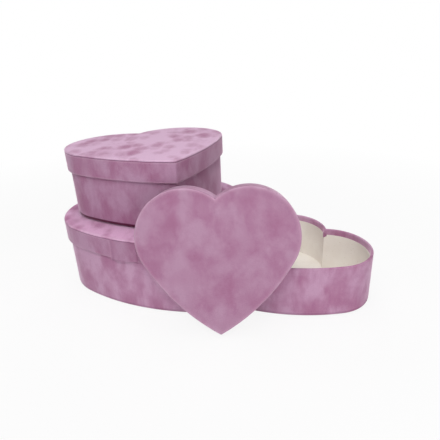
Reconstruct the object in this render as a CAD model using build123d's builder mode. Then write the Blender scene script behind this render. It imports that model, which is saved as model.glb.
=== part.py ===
from build123d import *

import os
from dataclasses import dataclass
from math import atan2, cos, degrees, inf, radians, sin, sqrt

# Nesting set of three heart-shaped gift boxes, covered in velvet and lined with paper.
# The large box stands closed with the medium box on its lid. The small box stands open
# beside them, and its lid leans on the large lid. Millimetres and degrees, +Z up, -Y to the front.
# The origin is on the table, in the middle of the large box's underside.

# Heart outlines of the lids, seen from above
SMALL_WIDTH = 200.0
SMALL_LENGTH = 185.5
SMALL_NOTCH = 13.9
SMALL_SIDE_RADIUS = 258.0
MEDIUM_WIDTH = 246.0
MEDIUM_LENGTH = 224.0
MEDIUM_NOTCH = 16.8
MEDIUM_SIDE_RADIUS = 380.0
LARGE_WIDTH = 286.0
LARGE_LENGTH = 260.5
LARGE_NOTCH = 19.5
LARGE_SIDE_RADIUS = 338.0
TIP_ROUND = 2.4

# Heights of the closed boxes, and how deep their lids are
SMALL_HEIGHT = 76.8
MEDIUM_HEIGHT = 100.7
LARGE_HEIGHT = 108.7
SMALL_LID_DEPTH = 27.6
MEDIUM_LID_DEPTH = 30.8
LARGE_LID_DEPTH = 30.8

# Sheet materials
BOARD = 2.0
PANEL_BOARD = 1.2
VELVET = 0.8
LINER = 0.3
BOTTOM_COVER = 1.2

# How the sheets lap, and how a lid fits its base
GLUE_FLANGE = 12.0
COVER_MARGIN = 4.0
BASE_TURN_IN = 13.0
LID_TURN_IN = 12.0
LINER_LAP = 4.0
LID_CLEARANCE = 0.5
SEAT_GAP = 0.2

# Where the boxes stand: each heading turns the heart's tip from the front towards +X
LARGE_HEADING = 22.1
MEDIUM_HEADING = 21.5
MEDIUM_TIP_ASIDE = -17.0
MEDIUM_TIP_BEHIND = 34.3
SMALL_HEADING = -54.7
SMALL_SPACING = 30.3
SMALL_BEARING = -25.5

# How the small lid leans: its face looks to the front and a little up
LEAN_HEADING = -5.9
LEAN_ANGLE = 11.7
LEAN_ROLL = 1.1
LEAN_ASIDE = 31.0
LEAN_GAP = 0.3

LID_WALL = VELVET + BOARD + VELVET + LINER
LID_PANEL = VELVET + PANEL_BOARD + VELVET
BASE_INSET = LID_WALL + LID_CLEARANCE


@dataclass
class HeartOutline:
    """Outer outline of a lid: two round lobes, and two long arcs that meet at the tip."""

    width: float
    length: float
    notch: float
    side_radius: float

    def __post_init__(self):
        notch_height = self.width / 2 - sqrt(self.notch * self.width)
        self.lobe_radius = (notch_height**2 + self.width**2 / 4) / self.width
        self.lobe_x = self.width / 2 - self.lobe_radius
        self.tip_y = self.lobe_radius - self.length
        self.side_center = self.find_side_center()
        toward_lobe = Vector(self.lobe_x, 0) - self.side_center
        self.shoulder_angle = degrees(atan2(toward_lobe.Y, toward_lobe.X))

    def find_side_center(self):
        """Centre of the right-hand side arc, which touches the lobe and ends at the tip."""
        lobe = Vector(self.lobe_x, 0)
        to_tip = Vector(0, self.tip_y) - lobe
        span = to_tip.length
        to_lobe = self.side_radius - self.lobe_radius
        along = (to_lobe**2 - self.side_radius**2 + span**2) / (2 * span)
        aside = sqrt(to_lobe**2 - along**2)
        forward = to_tip.normalized()
        inward = Vector(forward.Y, -forward.X)
        return lobe + forward * along + inward * aside

    def heart(self, inset, tip_round=0.0, round_notch=False):
        """Flat heart parallel to the outline and inset from it, tip towards -Y."""
        lobe = self.lobe_radius - inset
        side = self.side_radius - inset
        meeting = self.lobe_radius if round_notch else lobe
        notch_y = sqrt(meeting**2 - self.lobe_x**2)
        notch_angle = degrees(atan2(notch_y, -self.lobe_x))
        tip_rise = sqrt(side**2 - self.side_center.X**2)
        tip_angle = degrees(atan2(-tip_rise, -self.side_center.X))
        with BuildSketch() as flat:
            with BuildLine():
                if round_notch:
                    CenterArc((0, notch_y), inset, -90, notch_angle - 90)
                CenterArc((self.lobe_x, 0), lobe, notch_angle, self.shoulder_angle - notch_angle)
                CenterArc(self.side_center, side, self.shoulder_angle, tip_angle - self.shoulder_angle)
                mirror(about=Plane.YZ)
            make_face()
            if tip_round > 0:
                fillet(flat.vertices().sort_by(Axis.Y)[0], tip_round)
        return flat.sketch


@dataclass
class HeartBox:
    """One box: its outline, its heights, and the planes that its base and its lid stand on."""

    name: str
    outline: HeartOutline
    height: float
    lid_depth: float
    base_plane: Plane
    lid_plane: Plane

    @property
    def base_height(self):
        return self.height - LID_PANEL - LINER - SEAT_GAP

    def lid_heart(self, inset):
        return self.outline.heart(inset, TIP_ROUND - inset)

    def base_heart(self, inset):
        return self.outline.heart(BASE_INSET + inset, TIP_ROUND - inset)


def layer(plane, bottom, top, outer, inner=None):
    """Adds a sheet between two heights above a plane, or a ring where it has an inner outline."""
    with BuildSketch(plane.offset(bottom)) as section:
        add(outer)
        if inner is not None:
            add(inner, mode=Mode.SUBTRACT)
    extrude(section.sketch, amount=top - bottom)


def strip_half(plane, bottom, top, outer, inner, keep):
    """Half of a wall of board, which is bent from two strips that butt at the notch and the tip."""
    with BuildPart() as strip:
        layer(plane, bottom, top, outer, inner)
        split(bisect_by=Plane(plane.origin, x_dir=plane.y_dir, z_dir=plane.x_dir), keep=keep)
    return strip.part


def base_boards(box):
    """Floor board inside a wall of two bent strips."""
    bottom = BOTTOM_COVER + VELVET
    outside = box.base_heart(VELVET)
    inside = box.base_heart(VELVET + BOARD)
    with BuildPart() as floor:
        layer(box.base_plane, bottom, bottom + BOARD, inside)
    pieces = {"base_floor_board": floor.part}
    top = box.base_height - VELVET
    for side, keep in (("left", Keep.BOTTOM), ("right", Keep.TOP)):
        pieces[f"base_wall_board_{side}"] = strip_half(
            box.base_plane, bottom, top, outside, inside, keep
        )
    return pieces


def base_coverings(box):
    """Velvet from under the floor, up the wall and over the rim, and the sheet glued underneath."""
    plane = box.base_plane
    top = box.base_height
    outside = box.base_heart(0)
    flange_inside = box.outline.heart(BASE_INSET + GLUE_FLANGE, round_notch=True)
    board_outside = box.base_heart(VELVET)
    board_inside = box.base_heart(VELVET + BOARD)
    turned_in = box.base_heart(VELVET + BOARD + VELVET)
    with BuildPart() as wrap:
        layer(plane, BOTTOM_COVER, BOTTOM_COVER + VELVET, outside, flange_inside)
        layer(plane, BOTTOM_COVER + VELVET, top - VELVET, outside, board_outside)
        layer(plane, top - VELVET, top, outside, turned_in)
        layer(plane, top - BASE_TURN_IN, top - VELVET, board_inside, turned_in)
    with BuildPart() as cover:
        layer(plane, 0, BOTTOM_COVER, box.base_heart(COVER_MARGIN))
    return {"base_wrap": wrap.part, "base_bottom_cover": cover.part}


def base_liners(box):
    """Paper on the floor and up the wall, its top edge lapped over the turned-in velvet."""
    plane = box.base_plane
    floor_top = BOTTOM_COVER + VELVET + BOARD
    fold = box.base_height - BASE_TURN_IN
    wall = VELVET + BOARD
    with BuildPart() as floor:
        layer(plane, floor_top, floor_top + LINER, box.base_heart(wall + LINER))
    with BuildPart() as liner:
        layer(plane, floor_top, fold - LINER, box.base_heart(wall), box.base_heart(wall + LINER))
        layer(plane, fold - LINER, fold, box.base_heart(wall), box.base_heart(wall + VELVET + LINER))
        lap_outside = box.base_heart(wall + VELVET)
        lap_inside = box.base_heart(wall + VELVET + LINER)
        layer(plane, fold, fold + LINER_LAP, lap_outside, lap_inside)
    return {"base_floor_liner": floor.part, "base_wall_liner": liner.part}


def lid_boards(box):
    """Flat top board over a rim of two bent strips."""
    rim_top = box.lid_depth - LID_PANEL
    outside = box.lid_heart(VELVET)
    inside = box.lid_heart(VELVET + BOARD)
    with BuildPart() as top:
        layer(box.lid_plane, rim_top + VELVET, rim_top + VELVET + PANEL_BOARD, outside)
    pieces = {"lid_top_board": top.part}
    for side, keep in (("left", Keep.BOTTOM), ("right", Keep.TOP)):
        pieces[f"lid_rim_board_{side}"] = strip_half(
            box.lid_plane, VELVET, rim_top, outside, inside, keep
        )
    return pieces


def lid_coverings(box):
    """Velvet folded round the top board, and a velvet strip round the rim with its edge turned in."""
    plane = box.lid_plane
    rim_top = box.lid_depth - LID_PANEL
    outside = box.lid_heart(0)
    flange_inside = box.outline.heart(GLUE_FLANGE, round_notch=True)
    board_outside = box.lid_heart(VELVET)
    board_inside = box.lid_heart(VELVET + BOARD)
    turned_in = box.lid_heart(VELVET + BOARD + VELVET)
    with BuildPart() as top:
        layer(plane, rim_top, rim_top + VELVET, outside, flange_inside)
        layer(plane, rim_top + VELVET, box.lid_depth - VELVET, outside, board_outside)
        layer(plane, box.lid_depth - VELVET, box.lid_depth, outside)
    with BuildPart() as rim:
        layer(plane, 0, VELVET, outside, turned_in)
        layer(plane, VELVET, rim_top, outside, board_outside)
        layer(plane, VELVET, LID_TURN_IN, board_inside, turned_in)
    return {"lid_top_wrap": top.part, "lid_rim_wrap": rim.part}


def lid_liners(box):
    """Paper under the top board and round the inside of the rim, lapped over the turned-in velvet."""
    plane = box.lid_plane
    ceiling = box.lid_depth - LID_PANEL - LINER
    wall = VELVET + BOARD
    with BuildPart() as top:
        layer(plane, ceiling, ceiling + LINER, box.lid_heart(wall))
    with BuildPart() as rim:
        lap_outside = box.lid_heart(wall + VELVET)
        lap_inside = box.lid_heart(wall + VELVET + LINER)
        layer(plane, LID_TURN_IN - LINER_LAP, LID_TURN_IN, lap_outside, lap_inside)
        layer(plane, LID_TURN_IN, LID_TURN_IN + LINER, box.lid_heart(wall), lap_inside)
        layer(plane, LID_TURN_IN + LINER, ceiling, box.lid_heart(wall), box.lid_heart(wall + LINER))
    return {"lid_top_liner": top.part, "lid_rim_liner": rim.part}


def level_plane(x, y, z, heading):
    """Plane of a standing box, its heart's tip turned from the front towards +X by the heading."""
    return Plane((x, y, z), x_dir=(cos(radians(heading)), sin(radians(heading)), 0), z_dir=(0, 0, 1))


def plane_by_point(local_x, local_y, place, heading):
    """Level plane that puts a point of the heart at a place."""
    turned = level_plane(0, 0, 0, heading).from_local_coords(Vector(local_x, local_y, 0))
    origin = place - turned
    return level_plane(origin.X, origin.Y, place.Z, heading)


def leaning_plane(outline, support, support_plane, support_height):
    """Plane of a lid's open rim: the tip stands on the table and the rim leans on a box's top edge."""
    heading, lean, roll = radians(LEAN_HEADING), radians(LEAN_ANGLE), radians(LEAN_ROLL)
    facing = Vector(sin(heading), -cos(heading), 0)
    across = Vector(cos(heading), sin(heading), 0)
    normal = facing * cos(lean) + Vector(0, 0, sin(lean))
    upward = facing * -sin(lean) + Vector(0, 0, cos(lean))
    turned = across * cos(roll) + upward * sin(roll)
    at_origin = Plane((0, 0, 0), x_dir=turned, z_dir=normal)
    rim = []
    samples = 2000
    for edge in (outline.heart(0, TIP_ROUND).wire(), outline.heart(LID_WALL).wire()):
        rim += [at_origin.from_local_coords(edge @ (i / samples)) for i in range(samples)]
    rise = SEAT_GAP - min(point.Z for point in rim)
    support_tip = support_plane.from_local_coords(Vector(0, support.tip_y, 0))
    aside = support_tip.dot(across) + LEAN_ASIDE

    def support_front(across_place):
        """How far back the support's front is at a place across it, endless where it has none."""
        depths = []
        for side in (1, -1):
            center = Vector(side * support.side_center.X, support.side_center.Y, 0)
            center = support_plane.from_local_coords(center)
            offset = abs(across_place - center.dot(across))
            if offset >= support.side_radius:
                return inf
            depths.append(-center.dot(facing) - sqrt(support.side_radius**2 - offset**2))
        return max(depths)

    behind = min(
        support_front(aside + point.dot(across)) - LEAN_GAP + point.dot(facing)
        for point in rim
        if point.Z + rise <= support_height
    )
    origin = across * aside - facing * behind + Vector(0, 0, rise)
    return Plane(origin, x_dir=turned, z_dir=normal)


def large_box():
    outline = HeartOutline(LARGE_WIDTH, LARGE_LENGTH, LARGE_NOTCH, LARGE_SIDE_RADIUS)
    plane = level_plane(0, 0, 0, LARGE_HEADING)
    lid_plane = plane.offset(LARGE_HEIGHT - LARGE_LID_DEPTH)
    return HeartBox("large", outline, LARGE_HEIGHT, LARGE_LID_DEPTH, plane, lid_plane)


def medium_box(large):
    """The medium box stands on the large lid, its tip set back from the large one's."""
    outline = HeartOutline(MEDIUM_WIDTH, MEDIUM_LENGTH, MEDIUM_NOTCH, MEDIUM_SIDE_RADIUS)
    large_tip = large.base_plane.from_local_coords(Vector(0, large.outline.tip_y, LARGE_HEIGHT))
    tip = large_tip + Vector(MEDIUM_TIP_ASIDE, MEDIUM_TIP_BEHIND, SEAT_GAP)
    plane = plane_by_point(0, outline.tip_y, tip, MEDIUM_HEADING)
    lid_plane = plane.offset(MEDIUM_HEIGHT - MEDIUM_LID_DEPTH)
    return HeartBox("medium", outline, MEDIUM_HEIGHT, MEDIUM_LID_DEPTH, plane, lid_plane)


def small_box(large):
    """The small base stands lobe to lobe with the large box, and its lid leans on the large lid."""
    outline = HeartOutline(SMALL_WIDTH, SMALL_LENGTH, SMALL_NOTCH, SMALL_SIDE_RADIUS)
    lobe_to_lobe = large.outline.lobe_radius + SMALL_SPACING + outline.lobe_radius - BASE_INSET
    bearing = Vector(cos(radians(SMALL_BEARING)), sin(radians(SMALL_BEARING)), 0)
    large_lobe = large.base_plane.from_local_coords(Vector(large.outline.lobe_x, 0, 0))
    lobe = large_lobe + bearing * lobe_to_lobe
    plane = plane_by_point(-outline.lobe_x, 0, lobe, SMALL_HEADING)
    lid_plane = leaning_plane(outline, large.outline, large.base_plane, LARGE_HEIGHT)
    return HeartBox("small", outline, SMALL_HEIGHT, SMALL_LID_DEPTH, plane, lid_plane)


def box_pieces(box):
    """All the pieces of one box, by name."""
    pieces = {}
    for make in (base_boards, base_coverings, base_liners, lid_boards, lid_coverings, lid_liners):
        pieces.update(make(box))
    return {f"{box.name}_{name}": piece for name, piece in pieces.items()}


os.makedirs("parts", exist_ok=True)
large = large_box()
for box in (large, medium_box(large), small_box(large)):
    for name, piece in box_pieces(box).items():
        piece.label = name
        export_step(piece, f"parts/{name}.step")
    base, lid = box.base_plane.origin, box.lid_plane
    print(f"{box.name}: base at {base}, lid at {lid.origin} facing {lid.z_dir}")
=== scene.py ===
# %% [markdown]
# # A nesting set of velvet heart boxes
#
# The set has three heart-shaped gift boxes of one design. Each is greyboard, covered outside in mottled
# mauve velvet and lined inside with cream paper. The large box stands closed with the medium one on its lid.
# The small box stands open beside them, and its lid leans on the large lid.
#
# The boards, the paper linings and the cards underneath come from the construction model and keep their
# shape. The velvet is soft, so it is modelled here: it rolls over the board's edges instead of meeting in
# sharp corners.

from math import acos, atan2, cos, hypot, pi, radians, sin, sqrt

import bpy
from mathutils import Matrix, Vector


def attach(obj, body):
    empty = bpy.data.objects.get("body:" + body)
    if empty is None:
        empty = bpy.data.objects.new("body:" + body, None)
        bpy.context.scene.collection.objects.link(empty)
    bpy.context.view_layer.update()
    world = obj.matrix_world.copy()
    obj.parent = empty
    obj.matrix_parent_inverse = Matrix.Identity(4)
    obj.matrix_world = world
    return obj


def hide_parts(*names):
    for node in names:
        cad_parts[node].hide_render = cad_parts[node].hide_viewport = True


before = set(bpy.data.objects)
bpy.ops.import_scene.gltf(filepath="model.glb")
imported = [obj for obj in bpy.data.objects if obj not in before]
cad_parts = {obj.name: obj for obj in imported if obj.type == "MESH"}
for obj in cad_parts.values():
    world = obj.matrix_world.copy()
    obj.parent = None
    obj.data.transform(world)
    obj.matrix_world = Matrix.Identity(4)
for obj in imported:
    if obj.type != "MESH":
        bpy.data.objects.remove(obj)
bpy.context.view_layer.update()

# %% [markdown]
# ## The camera
#
# The photograph is taken from the front and a little above, with a normal lens. Its place was found by
# fitting the outlines of all the boxes at once, and the small roll and shift are part of that fit. The
# camera comes first, so that every later step can be looked at from the photograph's side.

# %% Camera at the photograph's place
MM = 0.001
CAMERA_PLACE = Vector((90.1, -573.5, 328.3)) * MM
PITCH = radians(21.56)
YAW = radians(-1.43)
ROLL = radians(-2.41)
FOCAL_PIXELS = 370.9
IMAGE_PIXELS = 440
AXIS_PIXEL_ROW = 202.1
SENSOR_WIDTH = 36

level_ahead = Vector((-sin(YAW), cos(YAW), 0))
level_right = Vector((cos(YAW), sin(YAW), 0))
ahead = level_ahead * cos(PITCH) - Vector((0, 0, sin(PITCH)))
above = level_ahead * sin(PITCH) + Vector((0, 0, cos(PITCH)))
right = level_right * cos(ROLL) + above * sin(ROLL)
upward = above * cos(ROLL) - level_right * sin(ROLL)
bpy.ops.object.select_all(action="DESELECT")
bpy.ops.object.camera_add()
camera = bpy.context.object
camera.name = "photo_camera"
camera_axes = Matrix((right, upward, -ahead)).transposed().to_4x4()
camera.matrix_world = Matrix.Translation(CAMERA_PLACE) @ camera_axes
camera.data.sensor_width = SENSOR_WIDTH
camera.data.lens = SENSOR_WIDTH * FOCAL_PIXELS / IMAGE_PIXELS
camera.data.shift_y = (AXIS_PIXEL_ROW - IMAGE_PIXELS / 2) / IMAGE_PIXELS
camera.data.clip_start = 10 * MM
bpy.context.scene.camera = camera
print("lens", round(camera.data.lens, 2), "mm, shift", round(camera.data.shift_y, 4))

# %% [markdown]
# ## The heart outline
#
# A heart box is bent from strips of board, so its outline is made of plain arcs: a round lobe, a long flat
# side that touches it, and a small round at the tip. The other half is its mirror image. The same four
# numbers that drive the construction model give the centres of these arcs, and every velvet piece below is
# swept around them.

# %% Arcs of one half of a heart
TIP_ROUND = 2.4


def heart_arcs(width, length, notch, side_radius, inset):
    """Centres, radii and angles of the right half, in millimetres, for an outline inset from the lid's."""
    notch_height = width / 2 - sqrt(notch * width)
    lobe = (notch_height**2 + width**2 / 4) / width
    lobe_x = width / 2 - lobe
    tip_y = lobe - length
    span = hypot(lobe_x, tip_y)
    to_lobe = side_radius - lobe
    along = (to_lobe**2 - side_radius**2 + span**2) / (2 * span)
    aside = sqrt(to_lobe**2 - along**2)
    to_tip = Vector((-lobe_x, tip_y)) / span
    side = Vector((lobe_x, 0)) + to_tip * along + Vector((to_tip.y, -to_tip.x)) * aside
    tip_reach = side_radius - inset - TIP_ROUND
    tip_y = side.y - sqrt(tip_reach**2 - side.x**2)
    return {
        "lobe": Vector((lobe_x, 0)),
        "lobe_radius": lobe - inset,
        "side": side,
        "side_radius": side_radius - inset,
        "shoulder": atan2(-side.y, lobe_x - side.x),
        "tip": Vector((0, tip_y)),
        "tip_turn": atan2(tip_y - side.y, -side.x),
    }


def outline_length(arcs):
    """Length once round a heart, in millimetres."""
    notch = pi - acos(arcs["lobe"].x / arcs["lobe_radius"])
    half = arcs["lobe_radius"] * (notch - arcs["shoulder"])
    half += arcs["side_radius"] * (arcs["shoulder"] - arcs["tip_turn"])
    half += TIP_ROUND * (arcs["tip_turn"] + pi / 2)
    return 2 * half


BASE_INSET = 4.4
LID_ABOVE_BASE = 3.3
BOXES = {
    "large": {"outline": (286, 260.5, 19.5, 338), "height": 108.7, "lid_depth": 30.8},
    "medium": {"outline": (246, 224, 16.8, 380), "height": 100.7, "lid_depth": 30.8},
    "small": {"outline": (200, 185.5, 13.9, 258), "height": 76.8, "lid_depth": 27.6},
}
for name, box in BOXES.items():
    box["base_height"] = box["height"] - LID_ABOVE_BASE
    box["lid_arcs"] = heart_arcs(*box["outline"], 0)
    box["base_arcs"] = heart_arcs(*box["outline"], BASE_INSET)
    print(name, "lid is", round(outline_length(box["lid_arcs"])), "mm round")

# %% [markdown]
# ## Where each box stands
#
# A closed box has its lid straight above its base. The small lid stands on its tip, turned a little to the
# left, leaning back on the large lid and rolled slightly to one side. Each place is a matrix that takes a
# heart drawn flat at the origin to where it belongs. The pieces could be drawn in place instead, but then
# every outline would have to be turned by hand.

# %% Places of the bases and lids


def standing(x, y, z, heading):
    """Place of a heart that lies level, its tip turned from the front to the right by the heading."""
    return Matrix.Translation(Vector((x, y, z)) * MM) @ Matrix.Rotation(radians(heading), 4, "Z")


def leaning(x, y, z, heading, lean, roll):
    """Place of a heart that stands on its tip and leans back, its face to the front."""
    facing = Vector((sin(radians(heading)), -cos(radians(heading)), 0))
    across = Vector((cos(radians(heading)), sin(radians(heading)), 0))
    normal = facing * cos(radians(lean)) + Vector((0, 0, sin(radians(lean))))
    rising = facing * -sin(radians(lean)) + Vector((0, 0, cos(radians(lean))))
    turned = across * cos(radians(roll)) + rising * sin(radians(roll))
    axes = Matrix((turned, normal.cross(turned), normal)).transposed().to_4x4()
    return Matrix.Translation(Vector((x, y, z)) * MM) @ axes


PLACES = {
    "large_base": standing(0, 0, 0, 22.1),
    "large_lid": standing(0, 0, 77.9, 22.1),
    "medium_base": standing(-6.4545, 12.4625, 108.9, 21.5),
    "medium_lid": standing(-6.4545, 12.4625, 178.8, 21.5),
    "small_base": standing(231.4186, -86.2216, 0, -54.7),
    "small_lid": leaning(96.7496, -154.0085, 121.5278, -5.9, 11.7, 1.1),
}
for name, place in PLACES.items():
    print(name, "stands at", [round(value / MM, 1) for value in place.translation], "mm")

# %% [markdown]
# ## Drawing a section
#
# Velvet on a box is a sheet of even thickness that follows the outline, so it could be an extruded heart
# with bevelled edges, or a section spun around the outline. Spinning is cleaner here: the section is drawn
# once as a line of edges, its corners are rounded with a vertex bevel, and every point of it keeps its
# distance from the outline.
#
# Light catches the outside of a fold, and shade falls in a groove or under an edge; both are painted into the
# velvet's colour here. Each point of a section therefore stores a value of painted light, from 1 for a
# painted highlight to -1 for painted shade, which the spin carries along and the velvet's material reads
# later.

# %% Draw a section
BEVEL_STEPS = 5
SAME_PLACE = 0.01 * MM


def pick_near(piece, point):
    """Selects only the vertices at a place."""
    bpy.ops.object.mode_set(mode="OBJECT")
    for part in (piece.data.polygons, piece.data.edges, piece.data.vertices):
        part.foreach_set("select", [False] * len(part))
    for vertex in piece.data.vertices:
        vertex.select = (vertex.co - point).length < SAME_PLACE
    bpy.ops.object.mode_set(mode="EDIT")


def mark_painted_light(piece, center, radius, painted_light_marks):
    """Stores on each point of a section the painted light or shade of the nearest (inset, height, value)
    mark.
    """
    bpy.ops.object.mode_set(mode="OBJECT")
    stored = piece.data.attributes.new("fold", "FLOAT", "POINT")
    for vertex, item in zip(piece.data.vertices, stored.data):
        inset = radius - (vertex.co.xy / MM - center).length
        height = vertex.co.z / MM
        item.value = min(painted_light_marks, key=lambda mark: hypot(mark[0] - inset, mark[1] - height))[2]
    bpy.ops.object.mode_set(mode="EDIT")


def draw_section(name, section, rounds, center, radius, angle, painted_light_marks=()):
    """Draws a line of (inset, height) points on an arc's ray, and rounds the corners that are named."""
    bpy.ops.object.select_all(action="DESELECT")
    bpy.ops.mesh.primitive_plane_add(size=MM)
    piece = bpy.context.object
    piece.name = name
    piece.data.name = name
    outward = Vector((cos(angle), sin(angle), 0))
    middle = Vector((center.x, center.y, 0))
    points = []
    for inset, height in section:
        points.append((middle + outward * (radius - inset) + Vector((0, 0, height))) * MM)
    bpy.ops.object.mode_set(mode="EDIT")
    bpy.ops.mesh.select_mode(type="VERT")
    bpy.ops.mesh.merge(type="CENTER")
    bpy.ops.transform.translate(value=points[0])
    for before, after in zip(points, points[1:]):
        bpy.ops.mesh.extrude_region_move(TRANSFORM_OT_translate={"value": after - before})
    for corner, size in rounds.items():
        pick_near(piece, points[section.index(corner)])
        bpy.ops.mesh.bevel(offset=size * MM, segments=BEVEL_STEPS, affect="VERTICES")
    if painted_light_marks:
        mark_painted_light(piece, center, radius, painted_light_marks)
    bpy.ops.mesh.select_all(action="SELECT")
    return piece


print("a rounded corner takes", BEVEL_STEPS, "steps")

# %% [markdown]
# ## Spinning it around the heart
#
# The spin operator carries the section round the lobe, along the side and about the tip. A bisect trims the
# half at the mirror plane, and a mirror makes the other half. Points that lie further in than the tip's
# radius would turn inside out about the tip, so the section first gets a point on the tip's axis. What is
# past the axis then falls behind the mirror plane and is trimmed with the rest.

# %% Spin a section round a heart
LOBE_STEPS = 72
SIDE_STEPS = 44
TIP_STEPS = 8
ON_PLANE = 1e-7
MERGE = 0.01 * MM
MIRROR_MERGE = 0.02 * MM


def spin_about(center, turn, steps):
    """Carries the selected section round a vertical axis, clockwise seen from above."""
    middle = Vector((center.x, center.y, 0)) * MM
    bpy.ops.mesh.spin(steps=steps, angle=turn, center=middle, axis=(0, 0, 1))


def trim_half():
    """Cuts away what lies left of the middle, and the loose edges that the cut leaves."""
    bpy.ops.mesh.select_all(action="SELECT")
    bpy.ops.mesh.bisect(plane_co=(0, 0, 0), plane_no=(1, 0, 0), clear_inner=True, threshold=ON_PLANE)
    bpy.ops.mesh.select_all(action="SELECT")
    bpy.ops.mesh.delete_loose()
    bpy.ops.object.mode_set(mode="OBJECT")


def mirror_half(piece):
    """Makes the left half of a piece from its right half."""
    mirror = piece.modifiers.new("other half", "MIRROR")
    mirror.merge_threshold = MIRROR_MERGE
    bpy.ops.object.modifier_apply(modifier=mirror.name)


def sweep_heart(name, arcs, section, rounds, painted_light_marks):
    """Spins a section round the right half of a heart, trims it at the middle and mirrors it."""
    piece = draw_section(name, section, rounds, arcs["lobe"], arcs["lobe_radius"], pi, painted_light_marks)
    tip_axis = Vector((arcs["lobe"].x - arcs["lobe_radius"] + TIP_ROUND, 0, 0)) * MM
    bpy.ops.mesh.bisect(plane_co=tip_axis, plane_no=(1, 0, 0), threshold=ON_PLANE)
    bpy.ops.mesh.select_all(action="SELECT")
    spin_about(arcs["lobe"], pi - arcs["shoulder"], LOBE_STEPS)
    spin_about(arcs["side"], arcs["shoulder"] - arcs["tip_turn"], SIDE_STEPS)
    spin_about(arcs["tip"], arcs["tip_turn"] + pi / 2, TIP_STEPS)
    trim_half()
    mirror_half(piece)
    bpy.ops.object.mode_set(mode="EDIT")
    bpy.ops.mesh.select_all(action="SELECT")
    bpy.ops.mesh.remove_doubles(threshold=MERGE)
    bpy.ops.mesh.normals_make_consistent(inside=False)
    bpy.ops.object.mode_set(mode="OBJECT")
    return piece


print("half a heart takes", LOBE_STEPS + SIDE_STEPS + TIP_STEPS, "steps")

# %% [markdown]
# ## From a surface to cloth
#
# A closed section could carry the cloth's thickness, but then each corner would have to be drawn twice. The
# swept surface gets its thickness with Solidify instead, on the side of the board, so its faces have to
# point away from the board first. The outermost wall tells which way they point.

# %% Finish a velvet sheet
CLOTH = 0.4
SMOOTH_ANGLE = radians(40)
velvet_pieces = []


def flip_faces(piece):
    """Turns all faces of a piece over."""
    bpy.ops.object.mode_set(mode="EDIT")
    bpy.ops.mesh.select_all(action="SELECT")
    bpy.ops.mesh.flip_normals()
    bpy.ops.object.mode_set(mode="OBJECT")


def face_outwards(piece):
    """Turns a whole heart's faces over where its outermost wall looks inwards."""
    outermost = max(piece.data.polygons, key=lambda face: face.center.x)
    if outermost.normal.x < 0:
        flip_faces(piece)


def finish_sheet(piece, place, thickness=CLOTH):
    """Gives a sheet its thickness, smooths it, puts it in its place and returns the area of its face."""
    area = sum(face.area for face in piece.data.polygons)
    solid = piece.modifiers.new("thickness", "SOLIDIFY")
    solid.thickness = thickness * MM
    solid.offset = -1
    bpy.ops.object.modifier_apply(modifier=solid.name)
    bpy.ops.object.shade_smooth_by_angle(angle=SMOOTH_ANGLE)
    piece.matrix_world = place
    bpy.ops.object.transform_apply(location=True, rotation=True, scale=True)
    return area


def put_on(piece, body):
    """Lets a velvet piece ride on a body, and keeps it for its material."""
    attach(piece, body)
    velvet_pieces.append(piece)
    print(f"{piece.name}: {len(piece.data.polygons)} faces")


print("velvet sheets are", CLOTH, "mm thick")

# %% [markdown]
# ## Velvet on the bases
#
# On the real box one strip of velvet covers the wall. Its lower edge is folded under the floor, and its
# upper edge is rolled over the board and glued down inside, where the paper lining laps over it. The
# rolled rim is nearly half round, because the pile is thick compared with the board. A velvet material on
# the board would look the same from far off, but its rim would be square.
#
# The foot of the wall is painted darker, as a painted shadow where the box stands. This painted shadow is
# darkest on the medium box, whose foot stands on the velvet of the lid below.

# %% Base velvet
FLANGE = 12
CARD_EDGE = 4
TURN_IN = 13
WALL = 3.6
CARD = 1.2
FOOT_ROUND = 2.5
FOOT_TOP = 5.2
FOOT_FADE = 6.6
RIM_BAND = 3.4
RIM_ROUND = 1.7
ROLL_MIDDLE = 0.5
# Depth of the painted shadow at each box's foot.
PAINTED_FOOT_SHADOW = {"large": -0.3, "medium": -1, "small": -0.3}
cuts = {}


def dress(piece, box_name, body, node, cut, area):
    """Puts a velvet piece in the place of a plain solid, and keeps its cut in millimetres."""
    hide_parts(node)
    put_on(piece, f"{box_name}_{body}")
    cuts[piece.name] = {"flat": (cut[0] * MM, cut[1] * MM), "area": area}


for box_name, box in BOXES.items():
    top = box["base_height"]
    section = [(FLANGE, CARD), (CARD_EDGE, CARD), (0, CARD), (0, FOOT_TOP), (0, FOOT_FADE)]
    section += [(0, top - RIM_BAND), (0, top), (WALL, top), (WALL, top - RIM_BAND), (WALL, top - TURN_IN)]
    rounds = {(0, CARD): FOOT_ROUND, (0, top): RIM_ROUND, (WALL, top): RIM_ROUND}
    foot_shadow = PAINTED_FOOT_SHADOW[box_name]
    # Painted shadow at the foot, and faint painted shade on the rolled rim and down its inside.
    painted_light_marks = [
        (FLANGE, CARD, foot_shadow),
        (0, CARD + FOOT_ROUND, foot_shadow),
        (0, FOOT_TOP, foot_shadow),
        (0, FOOT_FADE, 0),
        (0, top - RIM_BAND, 0),
        (ROLL_MIDDLE, top - ROLL_MIDDLE, -0.1),
        (WALL - ROLL_MIDDLE, top - ROLL_MIDDLE, -0.1),
        (WALL, top - RIM_BAND, -0.15),
        (WALL, top - TURN_IN, -0.15),
    ]
    piece = sweep_heart(f"{box_name}_base_velvet", box["base_arcs"], section, rounds, painted_light_marks)
    face_outwards(piece)
    area = finish_sheet(piece, PLACES[f"{box_name}_base"])
    cut = (outline_length(box["base_arcs"]), FLANGE + top - CARD + WALL + TURN_IN)
    dress(piece, box_name, "base", f"{box_name}_base_wrap", cut, area)

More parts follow.
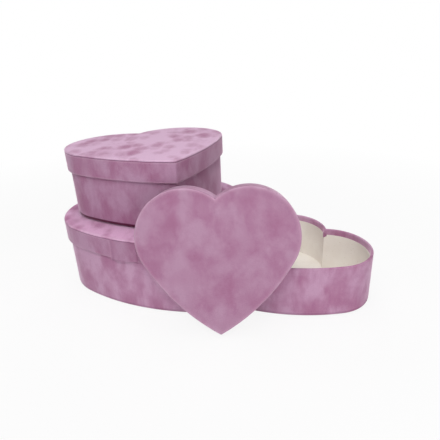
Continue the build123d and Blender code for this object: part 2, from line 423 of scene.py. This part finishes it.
# %% [markdown]
# ## Velvet on the lids
#
# A lid is two wrapped parts glued together: a flat panel, with velvet folded round its edge, on a rim that
# has a velvet strip of its own. The fold and the strip meet in a fine groove a few millimetres below the
# top edge, which shows as a line around every lid. One sheet over the whole lid would be simpler, but it
# would have no groove, so rim and panel are two pieces.

# %% Lid rim velvet
LID_TURN_IN = 12
UNDER_PANEL = 2.2
PANEL = 2.8
GLUE_LINE = 0.05
GROOVE_ROUND = 0.9
GROOVE_MIDDLE = 0.25
GROOVE_BAND = 2.6

for box_name, box in BOXES.items():
    top = box["lid_depth"] - PANEL - GLUE_LINE
    section = [(UNDER_PANEL, top), (0, top), (0, top - GROOVE_BAND), (0, RIM_BAND), (0, 0), (WALL, 0)]
    section += [(WALL, RIM_BAND), (WALL, LID_TURN_IN)]
    rounds = {(0, top): GROOVE_ROUND, (0, 0): RIM_ROUND, (WALL, 0): RIM_ROUND}
    # Painted shade in the groove under the panel and on the rim's inside, painted highlights just below the
    # groove and on the lower roll.
    painted_light_marks = [
        (UNDER_PANEL, top, -0.7),
        (GROOVE_ROUND, top, -0.7),
        (GROOVE_MIDDLE, top - GROOVE_MIDDLE, -0.4),
        (0, top - GROOVE_ROUND, 0.5),
        (0, top - GROOVE_BAND, 0.1),
        (0, RIM_BAND, 0),
        (ROLL_MIDDLE, ROLL_MIDDLE, 0.4),
        (WALL - ROLL_MIDDLE, ROLL_MIDDLE, -0.3),
        (WALL, RIM_BAND, -0.4),
        (WALL, LID_TURN_IN, -0.4),
    ]
    piece = sweep_heart(f"{box_name}_lid_rim_velvet", box["lid_arcs"], section, rounds, painted_light_marks)
    face_outwards(piece)
    area = finish_sheet(piece, PLACES[f"{box_name}_lid"])
    cut = (outline_length(box["lid_arcs"]), UNDER_PANEL + top + WALL + LID_TURN_IN)
    dress(piece, box_name, "lid", f"{box_name}_lid_rim_wrap", cut, area)

# %% [markdown]
# The panel's section stops a little way in from the edge. The open loop that is left on top is closed with
# one flat face, as a sheet of velvet lies flat on a board.

# %% Lid panel velvet
UNDER_FOLD = 3
UNDER_ROUND = 0.6
EDGE_BAND = 6
FLAT_FROM = 14
LEVEL_SLACK = 0.1


def close_top(piece, height):
    """Fills the loop of open edges at a height with one face."""
    bpy.ops.object.mode_set(mode="EDIT")
    bpy.ops.mesh.select_non_manifold(extend=False)
    bpy.ops.object.mode_set(mode="OBJECT")
    level = (height - LEVEL_SLACK) * MM
    for edge in piece.data.edges:
        ends = [piece.data.vertices[index] for index in edge.vertices]
        edge.select = edge.select and all(end.co.z > level for end in ends)
    for vertex in piece.data.vertices:
        vertex.select = vertex.select and vertex.co.z > level
    bpy.ops.object.mode_set(mode="EDIT")
    bpy.ops.mesh.edge_face_add()
    bpy.ops.mesh.select_all(action="SELECT")
    bpy.ops.mesh.normals_make_consistent(inside=False)
    bpy.ops.object.mode_set(mode="OBJECT")


for box_name, box in BOXES.items():
    top = box["lid_depth"]
    low = top - PANEL
    section = [(FLANGE, low), (UNDER_FOLD, low), (0, low), (0, top)]
    section += [(RIM_BAND, top), (EDGE_BAND, top), (FLAT_FROM, top)]
    rounds = {(0, low): UNDER_ROUND, (0, top): RIM_ROUND}
    # Painted highlight on the panel's rolled top edge, fading inwards, and painted shade under the panel and
    # at the foot of its edge.
    painted_light_marks = [
        (FLANGE, low, -0.7),
        (0, low, -0.7),
        (0, top - RIM_ROUND, -0.2),
        (ROLL_MIDDLE, top - ROLL_MIDDLE, 0.75),
        (RIM_ROUND, top, 0.45),
        (RIM_BAND, top, 0.2),
        (EDGE_BAND, top, 0),
        (FLAT_FROM, top, 0),
    ]
    piece = sweep_heart(f"{box_name}_lid_panel_velvet", box["lid_arcs"], section, rounds, painted_light_marks)
    close_top(piece, top)
    face_outwards(piece)
    area = finish_sheet(piece, PLACES[f"{box_name}_lid"])
    cut = [side + 2 * (PANEL + FLANGE) for side in box["outline"][:2]]
    dress(piece, box_name, "lid", f"{box_name}_lid_top_wrap", cut, area)

# %% [markdown]
# ## Lapped ends of the strips
#
# Each velvet strip goes once round its box, and its end is lapped over its start. On most of them the lap is
# at the back, beside the notch, and on the small lid low on one side. On the large lid it is on the front
# left, and the end was glued a little askew, so its corner hangs below the rim. A line in the material would
# show the place, but not the step in the cloth. So a lap is a short piece of the same section, spun along
# part of one arc, with its lower edge lifted step by step towards the far end.

# %% One lap
LAP_CLOTH = 0.7
LAP_STEPS = 12
# Painted highlight along the lap's first step and painted shade along the next.
LAP_LIGHT_MARKS = {0: 0.5, 1: -0.25}
LAP_FOOT_TOP = 2.2
LAP_FOOT = 3
LAP_FOOT_FADE = 3.6
LAP_EDGE = 1


def face_away(piece, center):
    """Turns a strip's faces over where they look towards the centre of its arc."""
    first = piece.data.polygons[0]
    if first.normal.xy.dot(first.center.xy / MM - center) < 0:
        flip_faces(piece)


def lap_strip(name, arcs, arc, start, low, high, length, droop, proud, left=False, foot=0.0):
    """A strip of cloth on one arc of the heart, from an angle on, for a length in millimetres."""
    center = Vector(arcs[arc])
    radius = arcs[f"{arc}_radius"]
    turn = length / radius
    heights = [low - droop, low + LAP_FOOT_TOP, low + LAP_FOOT_FADE, high]
    section = [(-proud, height) for height in heights]
    if left:
        center.x = -center.x
        start = pi - start
        turn = -turn
    piece = draw_section(name, section, {}, center, radius, start)
    spin_about(center, turn, LAP_STEPS)
    bpy.ops.object.mode_set(mode="OBJECT")
    first = Vector((cos(start), sin(start)))
    stored = piece.data.attributes.new("fold", "FLOAT", "POINT")
    for vertex, item in zip(piece.data.vertices, stored.data):
        share = abs(first.angle_signed((vertex.co.xy / MM - center), 0.0) / turn)
        item.value = LAP_LIGHT_MARKS.get(round(share * LAP_STEPS), 0)
        # Below the foot line a base's lap also takes the painted foot shadow.
        if vertex.co.z < (low + LAP_FOOT) * MM:
            item.value += foot
        if vertex.co.z < (low + LAP_EDGE) * MM:
            vertex.co.z += droop * MM * min(share, 1)
    face_away(piece, center)
    return piece


print("a lap takes", LAP_STEPS, "steps and is", LAP_CLOTH, "mm thick")

# %% [markdown]
# Every strip has one lap. A function chooses the arc and the angle where each strip ends, so the one askew
# lap and the plain ones are made by the same code.

# %% Laps on the velvet strips
PLAIN_LAP = {"length": 16, "droop": 0.5, "proud": 0.35}
ASKEW_LAP = {"length": 42, "droop": 4, "proud": 0.75, "left": True}
ASKEW_FROM = Vector((93.3, -97.4))
FROM_LOBE_MIDDLE = radians(22)
BASE_LAP = {"low": 3, "below_top": 2}
LID_LAP = {"low": 0.9, "below_top": 1}
LAPPED = {"base": "base_velvet", "lid": "lid_rim_velvet"}
laps = {}


def back_angle(arcs):
    """Angle on the right lobe a little way from the notch."""
    return pi - 0.5 * (pi - arcs["shoulder"]) + FROM_LOBE_MIDDLE


def make_lap(name, box_name, body, box):
    """The lap of one strip, on the arc where that strip ends."""
    arcs = box[f"{body}_arcs"]
    if body == "base":
        edges = (BASE_LAP["low"], box["base_height"] - BASE_LAP["below_top"])
    else:
        edges = (LID_LAP["low"], box["lid_depth"] - PANEL - LID_LAP["below_top"])
    if name == "large_lid_lap":
        start = atan2(ASKEW_FROM.y - arcs["side"].y, ASKEW_FROM.x - arcs["side"].x)
        return lap_strip(name, arcs, "side", start, *edges, **ASKEW_LAP)
    if name == "small_lid_lap":
        start = (arcs["shoulder"] + arcs["tip_turn"]) / 2
        return lap_strip(name, arcs, "side", start, *edges, **PLAIN_LAP)
    # A base's lap takes the painted foot shadow of its strip.
    foot = PAINTED_FOOT_SHADOW[box_name] if body == "base" else 0
    return lap_strip(name, arcs, "lobe", back_angle(arcs), *edges, **PLAIN_LAP, foot=foot)


for box_name, box in BOXES.items():
    for body, strip in LAPPED.items():
        piece = make_lap(f"{box_name}_{body}_lap", box_name, body, box)
        finish_sheet(piece, PLACES[f"{box_name}_{body}"], LAP_CLOTH)
        put_on(piece, f"{box_name}_{body}")
        laps[f"{box_name}_{strip}"] = [piece]

# %% [markdown]
# ## Tucks at the notches
#
# Where the turned-in velvet goes round the notch there is too much of it. The spare cloth is pressed into a
# small tongue that points down over the lining. It could be pulled out of the velvet's own mesh, but as a
# piece of its own it has a clean edge. It is one short turn of a section about the lobe, mirrored, with its
# edges moved so that it narrows away from the notch.

# %% Tucks inside the bases
TUCK_CLOTH = 0.6
TUCK_HALF = 4.5
TUCK_DEPTH = 3.5
TUCK_RISE = 3.0
TUCK_MARGIN = 1
TUCK_STEPS = 24
# Painted shade along the middle of the tongue.
TUCK_PAINTED_SHADE = -0.35
TUCK_INSET = WALL + 0.35
LINER_EDGE = 9.0


def notch_tuck(name, arcs, top):
    """A tongue of velvet on the inside of the notch, its edges at heights below a base's rim."""
    lobe = arcs["lobe"]
    inner = arcs["lobe_radius"] - TUCK_INSET
    middle = top - LINER_EDGE
    section = [(TUCK_INSET, middle + step * TUCK_MARGIN) for step in (-1, 0, 1)]
    painted_light_marks = [(TUCK_INSET, middle, TUCK_PAINTED_SHADE)]
    piece = draw_section(name, section, {}, lobe, arcs["lobe_radius"], pi, painted_light_marks)
    spin_about(lobe, acos(lobe.x / inner) + TUCK_HALF / inner, TUCK_STEPS)
    trim_half()
    for vertex in piece.data.vertices:
        share = max(0, 1 - vertex.co.x / MM / TUCK_HALF)
        step = round((vertex.co.z / MM - middle) / TUCK_MARGIN)
        reach = TUCK_DEPTH if step < 0 else TUCK_RISE
        vertex.co.z += step * reach * share * MM
    face_away(piece, lobe)
    mirror_half(piece)
    return piece


for box_name, box in BOXES.items():
    piece = notch_tuck(f"{box_name}_base_tuck", box["base_arcs"], box["base_height"])
    finish_sheet(piece, PLACES[f"{box_name}_base"], TUCK_CLOTH)
    put_on(piece, f"{box_name}_base")
    laps[f"{box_name}_base_velvet"].append(piece)

# %% [markdown]
# ## What the velvet was cut to
#
# Each strip was a long rectangle, once round its heart and wide enough to fold over both edges of its
# board. A panel's cover was a heart with a margin to fold underneath, so its cut is less than the rectangle
# it came from. All of them are glued down smooth, and a lapped end or a tuck belongs to its strip.

# %% Cut sizes of the velvet
for name, cut in cuts.items():
    box_name, kind = name.split("_", 1)
    print(name, "cut from", [round(side / MM) for side in cut["flat"]], "mm")

# %% [markdown]
# ## Velvet and paper finishes
#
# Every finish here is a pattern of nodes, so it needs no picture and fits each box at its real size. A few
# short helpers keep the node trees readable: one makes an empty group, one a noise, one a sum or a product,
# one stretches a soft value to its full range, and one stretches the coordinates.

# %% Helpers for node trees


def new_group(name, inputs, outputs):
    """An empty shader group with float and vector sockets."""
    group = bpy.data.node_groups.new(name, "ShaderNodeTree")
    for socket, kind, value in inputs:
        made = group.interface.new_socket(socket, in_out="INPUT", socket_type=kind)
        if value is not None:
            made.default_value = value
    for socket in outputs:
        group.interface.new_socket(socket, in_out="OUTPUT", socket_type="NodeSocketFloat")
    return group, group.nodes.new("NodeGroupInput"), group.nodes.new("NodeGroupOutput")


def noise_node(tree, vector, scale, detail, roughness, distortion=0.0):
    """A noise texture in metres: scale is features per metre, a number or a socket."""
    node = tree.nodes.new("ShaderNodeTexNoise")
    node.inputs["Detail"].default_value = detail
    node.inputs["Roughness"].default_value = roughness
    node.inputs["Distortion"].default_value = distortion
    tree.links.new(vector, node.inputs["Vector"])
    if isinstance(scale, (int, float)):
        node.inputs["Scale"].default_value = scale
    else:
        tree.links.new(scale, node.inputs["Scale"])
    return node.outputs["Fac"]


def math_node(tree, operation, first, second):
    """A math node on two values, each a number or a socket."""
    node = tree.nodes.new("ShaderNodeMath")
    node.operation = operation
    for socket, value in zip(node.inputs, (first, second)):
        if isinstance(value, (int, float)):
            socket.default_value = value
        else:
            tree.links.new(value, socket)
    return node.outputs[0]


def spread(tree, value, low, high):
    """Stretches the part of a value between two limits to the whole range from 0 to 1, softly."""
    node = tree.nodes.new("ShaderNodeMapRange")
    node.interpolation_type = "SMOOTHSTEP"
    node.inputs["From Min"].default_value = low
    node.inputs["From Max"].default_value = high
    tree.links.new(value, node.inputs["Value"])
    return node.outputs["Result"]


def mapped(tree, vector, stretch, shift=(0, 0, 0)):
    """Coordinates stretched along each axis and moved."""
    node = tree.nodes.new("ShaderNodeMapping")
    node.inputs["Scale"].default_value = stretch
    node.inputs["Location"].default_value = shift
    tree.links.new(vector, node.inputs["Vector"])
    return node.outputs["Vector"]


print("node groups before the finishes:", len(bpy.data.node_groups))

# %% [markdown]
# The velvet's pile lies in patches, brushed one way or another, and each patch is a little paler or deeper.
# Soft noise gives the patches, blurred cells give rounder dabs, a stretched noise gives brush strokes, and a
# very fine noise gives the fibres. Several materials use this effect, so it is a node group.

# %% Node group for the brushed pile
WANDERS_PER_METRE = 45
STROKES_PER_METRE = 190
FIBRES_PER_METRE = 1500
STROKE_STRETCH = (1, 1, 0.35)
NAP_IN_RELIEF = 0.6

pile, pile_in, pile_out = new_group(
    "brushed pile",
    [
        ("Vector", "NodeSocketVector", None),
        ("Ground", "NodeSocketFloat", 0.5),
        ("Patches per metre", "NodeSocketFloat", 20.0),
        ("Patch depth", "NodeSocketFloat", 0.8),
        ("Dabs per metre", "NodeSocketFloat", 28.0),
        ("Dab depth", "NodeSocketFloat", 0.3),
        ("Dab wander", "NodeSocketFloat", 0.02),
        ("Stroke depth", "NodeSocketFloat", 0.2),
    ],
    ["Nap", "Fibre", "Height"],
)
asked = pile_in.outputs

patches = noise_node(
    pile, asked["Vector"], asked["Patches per metre"], detail=3.5, roughness=0.58, distortion=0.2
)
patches = math_node(pile, "SUBTRACT", spread(pile, patches, 0.35, 0.65), 0.5)
patches = math_node(pile, "MULTIPLY", patches, asked["Patch depth"])

wander = pile.nodes.new("ShaderNodeTexNoise")
wander.inputs["Scale"].default_value = WANDERS_PER_METRE
pile.links.new(asked["Vector"], wander.inputs["Vector"])
shifted = pile.nodes.new("ShaderNodeVectorMath")
shifted.operation = "MULTIPLY_ADD"
pile.links.new(wander.outputs["Color"], shifted.inputs[0])
pile.links.new(asked["Dab wander"], shifted.inputs[1])
pile.links.new(asked["Vector"], shifted.inputs[2])
cells = pile.nodes.new("ShaderNodeTexVoronoi")
cells.inputs["Randomness"].default_value = 0.8
pile.links.new(shifted.outputs["Vector"], cells.inputs["Vector"])
pile.links.new(asked["Dabs per metre"], cells.inputs["Scale"])
dabs = math_node(pile, "SUBTRACT", 1.0, spread(pile, cells.outputs["Distance"], 0.16, 0.78))
dabs = math_node(pile, "MULTIPLY", dabs, asked["Dab depth"])

along_pile = mapped(pile, asked["Vector"], STROKE_STRETCH)
strokes = noise_node(pile, along_pile, STROKES_PER_METRE, detail=1.5, roughness=0.5, distortion=0.3)
strokes = math_node(pile, "SUBTRACT", spread(pile, strokes, 0.3, 0.7), 0.5)
strokes = math_node(pile, "MULTIPLY", strokes, asked["Stroke depth"])

nap = math_node(pile, "ADD", asked["Ground"], patches)
nap = math_node(pile, "ADD", nap, dabs)
nap = math_node(pile, "ADD", nap, strokes)
fibre = noise_node(pile, asked["Vector"], FIBRES_PER_METRE, detail=2.0, roughness=0.6)
height = math_node(pile, "ADD", math_node(pile, "MULTIPLY", nap, NAP_IN_RELIEF), fibre)
pile.links.new(nap, pile_out.inputs["Nap"])
pile.links.new(fibre, pile_out.inputs["Fibre"])
pile.links.new(height, pile_out.inputs["Height"])
print("pile group:", len(pile.nodes), "nodes")

# %% [markdown]
# Colours are written as a painter reads them, and shaders want linear values, so one helper converts them.
# The others start a material, mix two colours and add a fine relief. With them a finish reads as a short
# list of what lies over what.

# %% Helpers for materials


def srgb(red, green, blue):
    """A colour as a painter reads it, 0 to 255, turned into the linear values that shaders use."""
    linear = []
    for value in (red, green, blue):
        value /= 255
        linear.append(value / 12.92 if value <= 0.04045 else ((value + 0.055) / 1.055) ** 2.4)
    return (*linear, 1.0)


def new_material(name, roughness):
    """A material with its shader, and the object's own coordinates in metres."""
    material = bpy.data.materials.new(name)
    material.use_nodes = True
    shader = material.node_tree.nodes["Principled BSDF"]
    shader.inputs["Roughness"].default_value = roughness
    place = material.node_tree.nodes.new("ShaderNodeTexCoord").outputs["Object"]
    return material, shader, place


def mix_colors(tree, factor, first, second, blend="MIX"):
    """A colour mix of two colours or sockets."""
    node = tree.nodes.new("ShaderNodeMix")
    node.data_type = "RGBA"
    node.blend_type = blend
    for socket, value in ((node.inputs[0], factor), (node.inputs[6], first), (node.inputs[7], second)):
        if isinstance(value, bpy.types.NodeSocket):
            tree.links.new(value, socket)
        else:
            socket.default_value = value
    return node.outputs[2]


def add_bump(tree, shader, height, strength, distance):
    """Lets a height pattern tilt the surface a little."""
    bump = tree.nodes.new("ShaderNodeBump")
    bump.inputs["Strength"].default_value = strength
    bump.inputs["Distance"].default_value = distance
    tree.links.new(height, bump.inputs["Height"])
    tree.links.new(bump.outputs["Normal"], shader.inputs["Normal"])


print("a middle grey of 128 is", round(srgb(128, 128, 128)[0], 3), "in linear values")

# %% [markdown]
# Each velvet material mixes a deep and a pale mauve by the nap, and darkens the colour a little between the
# fibres. The value of painted light paints a highlight on a rolled edge and shade in a groove or at a foot.
# Hair could stand for the pile, but from here it would be far finer than a pixel, so the pile is a pattern
# with a fine relief. Sheen gives the soft light edge that velvet shows where it turns away.

# %% The velvet material
BETWEEN_FIBRES = (0.86, 0.84, 0.86, 1)
UNSHADED = (1, 1, 1, 1)
# Colours and shares of the painted highlight on rolled edges and of the painted shade in grooves and at the
# feet.
PAINTED_HIGHLIGHT_COLOR = (226, 192, 214)
PAINTED_HIGHLIGHT_SHARE = 0.5
PAINTED_SHADE_COLOR = (88, 24, 56)
PAINTED_SHADE_SHARE = 0.95
SHEEN_TINT = (255, 228, 246)
PILE_RELIEF = 0.4 * MM


def velvet(name, deep, pale, settings, stretch, shift=(0, 0, 0)):
    """Mottled velvet between two colours. Settings name inputs of the pile group."""
    material, shader, place = new_material(name, roughness=0.92)
    tree = material.node_tree
    nap_group = tree.nodes.new("ShaderNodeGroup")
    nap_group.node_tree = pile
    for socket, value in settings.items():
        nap_group.inputs[socket].default_value = value
    tree.links.new(mapped(tree, place, stretch, shift), nap_group.inputs["Vector"])
    color = mix_colors(tree, nap_group.outputs["Nap"], srgb(*deep), srgb(*pale))
    shade = spread(tree, nap_group.outputs["Fibre"], 0.25, 0.6)
    depth = mix_colors(tree, shade, BETWEEN_FIBRES, UNSHADED)
    color = mix_colors(tree, 1.0, color, depth, "MULTIPLY")
    # The value of painted light paints a highlight where it is above 0 and shade where it is below.
    fold = tree.nodes.new("ShaderNodeAttribute")
    fold.attribute_name = "fold"
    painted_highlight = math_node(tree, "MULTIPLY", spread(tree, fold.outputs["Fac"], 0, 1), PAINTED_HIGHLIGHT_SHARE)
    color = mix_colors(tree, painted_highlight, color, srgb(*PAINTED_HIGHLIGHT_COLOR))
    painted_shade = math_node(tree, "MULTIPLY", spread(tree, fold.outputs["Fac"], 0, -1), PAINTED_SHADE_SHARE)
    color = mix_colors(tree, painted_shade, color, srgb(*PAINTED_SHADE_COLOR))
    tree.links.new(color, shader.inputs["Base Color"])
    shader.inputs["Specular IOR Level"].default_value = 0.1
    shader.inputs["Sheen Weight"].default_value = 0.8
    shader.inputs["Sheen Roughness"].default_value = 0.35
    shader.inputs["Sheen Tint"].default_value = srgb(*SHEEN_TINT)
    add_bump(tree, shader, nap_group.outputs["Height"], strength=0.35, distance=PILE_RELIEF)
    print("made", name)
    return material


print("the pile's relief is", round(PILE_RELIEF / MM, 2), "mm")

# %% [markdown]
# On the walls the pile is brushed upwards, so the pattern is stretched along the height. On the level panels
# it lies in separate dark dabs, a little longer from front to back. Each kind of surface has its own pair of
# tones, and these are lit and shaded copies of one velvet. The level panels are painted paler than the
# leaning panel, as painted top light, and the lower one paler still where the medium box shades it. The rims
# and the medium base are painted deeper than the other walls, as painted shade. One material for all would be
# simpler, but then every surface would show the same tones.

# %% Velvet on each piece
UPRIGHT = (1, 1, 0.6)
LEANING = (1, 1, 0.8)
LEVEL = (1, 0.66, 0)
LEVEL_SHIFT = (0.012, 0.034, 0.018)


def pile_settings(ground, patches, patch_depth, dabs, dab_depth, wander, strokes):
    """Values for the pile group's inputs, counts per metre and depths as shares of the colour range."""
    return {
        "Ground": ground,
        "Patches per metre": patches,
        "Patch depth": patch_depth,
        "Dabs per metre": dabs,
        "Dab depth": dab_depth,
        "Dab wander": wander,
        "Stroke depth": strokes,
    }


# The level pile's higher ground keeps the level panels near their pale tone, as painted top light.
WALL_PILE = pile_settings(0.56, 34, 0.75, 42, 0.2, wander=0.022, strokes=0.1)
PANEL_PILE = pile_settings(0.41, 30, 0.6, 40, 0.4, wander=0.022, strokes=0.06)
LEVEL_PILE = pile_settings(1.05, 28, 0.55, 44, -0.8, wander=0.012, strokes=0.14)
# Deeper tones on the rims and the medium base are painted shade; paler tones on the level panels are painted
# top light.
shaded_rim_velvet = velvet("velvet on rims", (169, 109, 143), (194, 152, 181), WALL_PILE, UPRIGHT)
WALLS = {
    "large": velvet("velvet on walls", (180, 118, 154), (212, 169, 199), WALL_PILE, UPRIGHT),
    "medium": shaded_rim_velvet,
    "small": velvet("velvet on the open base", (175, 114, 149), (205, 163, 192), WALL_PILE, UPRIGHT),
}
LIT_LEVEL_TONES = {
    "lower": ((186, 120, 161), (234, 188, 221)),
    "upper": ((175, 112, 150), (226, 188, 217)),
}
PANELS = {
    "large": velvet("velvet on the lower panel", *LIT_LEVEL_TONES["lower"], LEVEL_PILE, LEVEL, LEVEL_SHIFT),
    "medium": velvet("velvet on the upper panel", *LIT_LEVEL_TONES["upper"], LEVEL_PILE, LEVEL, LEVEL_SHIFT),
    "small": velvet("velvet on the leaning panel", (170, 113, 147), (190, 149, 176), PANEL_PILE, LEANING),
}
for piece in velvet_pieces:
    box_name = piece.name.split("_")[0]
    piece.data.materials.clear()
    if "panel" in piece.name:
        piece.data.materials.append(PANELS[box_name])
    elif "lid" in piece.name:
        piece.data.materials.append(shaded_rim_velvet)
    else:
        piece.data.materials.append(WALLS[box_name])
print(len(velvet_pieces), "velvet pieces dressed")

# %% [markdown]
# The lining is uncoated cream paper. Up close it has short fibres and a faint unevenness where it is glued
# to the board. The greyboard is coarse recycled pulp with darker flecks, and the sheet underneath each
# base is a mauve card. Plain colours would do from far off, but paper looks like plastic without its pulp,
# so the three share a node group.

# %% Node group for paper pulp
CLOUDS_PER_METRE = 28
FLECKS_PER_METRE = 420
GRAINS_PER_METRE = 1400
FLECK_EDGE = 0.78
FLECK_REACH = 0.4

pulp, pulp_in, pulp_out = new_group(
    "paper pulp",
    [("Vector", "NodeSocketVector", None), ("Fleck share", "NodeSocketFloat", 0.1)],
    ["Cloud", "Fleck", "Height"],
)
sheet_place = pulp_in.outputs["Vector"]
cloud = spread(pulp, noise_node(pulp, sheet_place, CLOUDS_PER_METRE, detail=3.0, roughness=0.55), 0.3, 0.7)
grain = noise_node(pulp, sheet_place, GRAINS_PER_METRE, detail=2.0, roughness=0.6, distortion=0.8)
fleck = noise_node(pulp, sheet_place, FLECKS_PER_METRE, detail=1.0, roughness=0.5, distortion=0.3)
lowered = math_node(pulp, "MULTIPLY", pulp_in.outputs["Fleck share"], FLECK_REACH)
fleck = math_node(pulp, "GREATER_THAN", fleck, math_node(pulp, "SUBTRACT", FLECK_EDGE, lowered))
cloud_relief = math_node(pulp, "MULTIPLY", cloud, 1.5)
grain_relief = math_node(pulp, "MULTIPLY", grain, 0.5)
relief = math_node(pulp, "ADD", cloud_relief, grain_relief)
pulp.links.new(cloud, pulp_out.inputs["Cloud"])
pulp.links.new(fleck, pulp_out.inputs["Fleck"])
pulp.links.new(relief, pulp_out.inputs["Height"])
print("pulp group:", len(pulp.nodes), "nodes")

# %% [markdown]
# The construction model's own pieces keep their shape and take these materials. A piece's finish is chosen
# by a word in its name: liner, board or cover.

# %% Paper and board on the construction model's pieces


def paper(name, tones, fleck_color, fleck_share, roughness, relief_depth):
    """Paper or board between two tones, with flecks."""
    material, shader, place = new_material(name, roughness)
    tree = material.node_tree
    pulp_group = tree.nodes.new("ShaderNodeGroup")
    pulp_group.node_tree = pulp
    pulp_group.inputs["Fleck share"].default_value = fleck_share
    tree.links.new(place, pulp_group.inputs["Vector"])
    color = mix_colors(tree, pulp_group.outputs["Cloud"], srgb(*tones[0]), srgb(*tones[1]))
    color = mix_colors(tree, pulp_group.outputs["Fleck"], color, srgb(*fleck_color))
    tree.links.new(color, shader.inputs["Base Color"])
    shader.inputs["Specular IOR Level"].default_value = 0.2
    add_bump(tree, shader, pulp_group.outputs["Height"], strength=0.3, distance=relief_depth * MM)
    return material


LINING_TONES = ((240, 234, 226), (246, 242, 235))
BOARD_TONES = ((146, 138, 126), (164, 155, 142))
CARD_TONES = ((158, 112, 138), (172, 128, 152))
FINISHES = {
    "liner": paper("cream lining paper", LINING_TONES, (225, 216, 204), 0.1, 0.85, relief_depth=0.3),
    "board": paper("greyboard", BOARD_TONES, (98, 90, 82), 0.8, 0.95, relief_depth=0.2),
    "cover": paper("mauve bottom card", CARD_TONES, (140, 96, 122), 0.3, 0.8, relief_depth=0.2),
}
for word, material in FINISHES.items():
    dressed = [node for node_name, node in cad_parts.items() if word in node_name.split("_")]
    for node in dressed:
        node.data.materials.clear()
        node.data.materials.append(material)
    print(material.name, "on", len(dressed), "pieces")

# %% [markdown]
# ## Floor and light
#
# The photograph has a white ground. A brighter lamp would whiten the floor, but it would bleach the velvet
# too. So the floor is white for the camera only, and keeps part of its own shading so that the boxes'
# shadows stay.

# %% Floor
FLOOR_SIZE = 8
FLOOR_BELOW = 0.3 * MM
WHITE_SHARE_NEAR = 0.88
WHITE_FADE_FROM = 0.35
WHITE_FADE_TO = 0.95

bpy.ops.object.select_all(action="DESELECT")
bpy.ops.mesh.primitive_plane_add(size=FLOOR_SIZE, location=(0, 0, -FLOOR_BELOW))
floor = bpy.context.object
floor.name = "floor"


def seen_ray(tree):
    """1 for rays from the camera, and for mirrored and transmitted ones."""
    rays = tree.nodes.new("ShaderNodeLightPath").outputs
    seen = math_node(tree, "MAXIMUM", rays["Is Camera Ray"], rays["Is Glossy Ray"])
    return math_node(tree, "MAXIMUM", seen, rays["Is Transmission Ray"])


floor_paint, floor_shader, floor_place = new_material("white floor", roughness=0.9)
floor_tree = floor_paint.node_tree
floor_shader.inputs["Base Color"].default_value = (0.9, 0.9, 0.9, 1)
floor_shader.inputs["Specular IOR Level"].default_value = 0.0
glow = floor_tree.nodes.new("ShaderNodeEmission")
glow.inputs["Strength"].default_value = 1.0
reach = floor_tree.nodes.new("ShaderNodeVectorMath")
reach.operation = "LENGTH"
floor_tree.links.new(floor_place, reach.inputs[0])
fade = floor_tree.nodes.new("ShaderNodeMapRange")
fade.inputs["From Min"].default_value = WHITE_FADE_FROM
fade.inputs["From Max"].default_value = WHITE_FADE_TO
fade.inputs["To Min"].default_value = WHITE_SHARE_NEAR
fade.inputs["To Max"].default_value = 1.0
floor_tree.links.new(reach.outputs["Value"], fade.inputs["Value"])
whiteness = math_node(floor_tree, "MULTIPLY", seen_ray(floor_tree), fade.outputs["Result"])
floor_mix = floor_tree.nodes.new("ShaderNodeMixShader")
floor_tree.links.new(whiteness, floor_mix.inputs["Fac"])
floor_tree.links.new(floor_shader.outputs["BSDF"], floor_mix.inputs[1])
floor_tree.links.new(glow.outputs["Emission"], floor_mix.inputs[2])
floor_tree.links.new(floor_mix.outputs["Shader"], floor_tree.nodes["Material Output"].inputs["Surface"])
floor.data.materials.append(floor_paint)
print("floor is", FLOOR_SIZE, "m wide")

# %% [markdown]
# The photograph's light is soft and comes from above and from the front right. A bright sky alone would have
# no direction, so five large lamps light the boxes at a plain level.

# %% Lamps
AMONG_BOXES = (0.08, -0.05, 0.10)
LOW_BETWEEN_BOXES = (0.12, -0.05, 0.05)


def soft_lamp(name, place, target, size, power):
    """A square area lamp that looks at a point."""
    bpy.ops.object.select_all(action="DESELECT")
    bpy.ops.object.light_add(type="AREA", location=place)
    lamp = bpy.context.object
    lamp.name = name
    lamp.data.size = size
    lamp.data.energy = power
    lamp.rotation_euler = (Vector(target) - Vector(place)).to_track_quat("-Z", "Y").to_euler()
    print(name, "lamp,", power, "W")


soft_lamp("overhead", (0.05, -0.05, 1.50), AMONG_BOXES, size=1.3, power=10)
soft_lamp("high front", (-0.10, -1.05, 1.20), AMONG_BOXES, size=0.7, power=8)
soft_lamp("high left", (-0.80, -0.75, 1.20), AMONG_BOXES, size=0.7, power=2.2)
soft_lamp("front right", (0.80, -1.35, 0.40), LOW_BETWEEN_BOXES, size=1.0, power=7)
soft_lamp("behind", (0.10, 1.30, 0.80), AMONG_BOXES, size=1.0, power=6)

# %% [markdown]
# A faint sky lifts the deepest shadows a little. Like the floor, it is white where the camera sees it.

# %% Sky
SKY_COLOR = (1, 0.99, 0.98, 1)
SKY_STRENGTH = 0.02

world = bpy.data.worlds.new("pale room")
bpy.context.scene.world = world
world.use_nodes = True
sky = world.node_tree
room = sky.nodes["Background"]
room.inputs["Color"].default_value = SKY_COLOR
room.inputs["Strength"].default_value = SKY_STRENGTH
white = sky.nodes.new("ShaderNodeBackground")
white.inputs["Color"].default_value = (1, 1, 1, 1)
sky_mix = sky.nodes.new("ShaderNodeMixShader")
sky.links.new(seen_ray(sky), sky_mix.inputs["Fac"])
sky.links.new(room.outputs["Background"], sky_mix.inputs[1])
sky.links.new(white.outputs["Background"], sky_mix.inputs[2])
sky.links.new(sky_mix.outputs["Shader"], sky.nodes["World Output"].inputs["Surface"])
bpy.context.scene.view_settings.view_transform = "Standard"
print("sky strength", SKY_STRENGTH)
